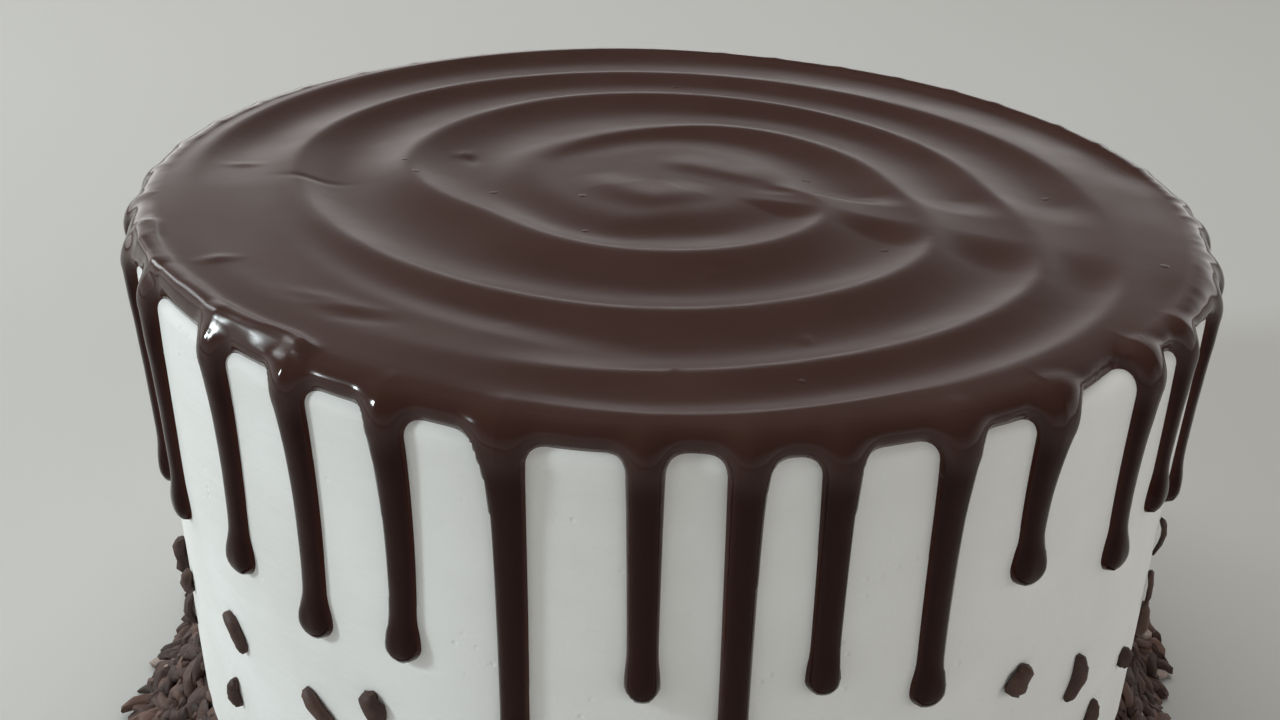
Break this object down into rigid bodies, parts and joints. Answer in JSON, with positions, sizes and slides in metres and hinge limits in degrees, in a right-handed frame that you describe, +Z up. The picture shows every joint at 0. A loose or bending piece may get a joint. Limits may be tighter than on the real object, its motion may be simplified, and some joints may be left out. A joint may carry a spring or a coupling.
{
  "type": "chocolate ganache cake",
  "caption": "Tall round frosted cake with a swirled dark ganache top that drips down its side, and chocolate shavings heaped round its base.",
  "frame": {"origin": "centre of the cake's flat base, on its axis", "axes": "+Z up along the cake's axis, -Y towards the front, +X to the right seen from the front"},
  "size_m": [0.2494, 0.2511, 0.1262],
  "materials": {
    "white_frosting": "matt whipped frosting, smoothed",
    "dark_ganache": "satin on the swirled top, glossy at the rim and on the drips",
    "shaved_chocolate": "matt, freshly cut"
  },
  "bodies": {
    "root": {"frosted_cake": "white_frosting", "ganache": "dark_ganache", "chocolate_shavings": "shaved_chocolate"}
  },
  "joints": []
}
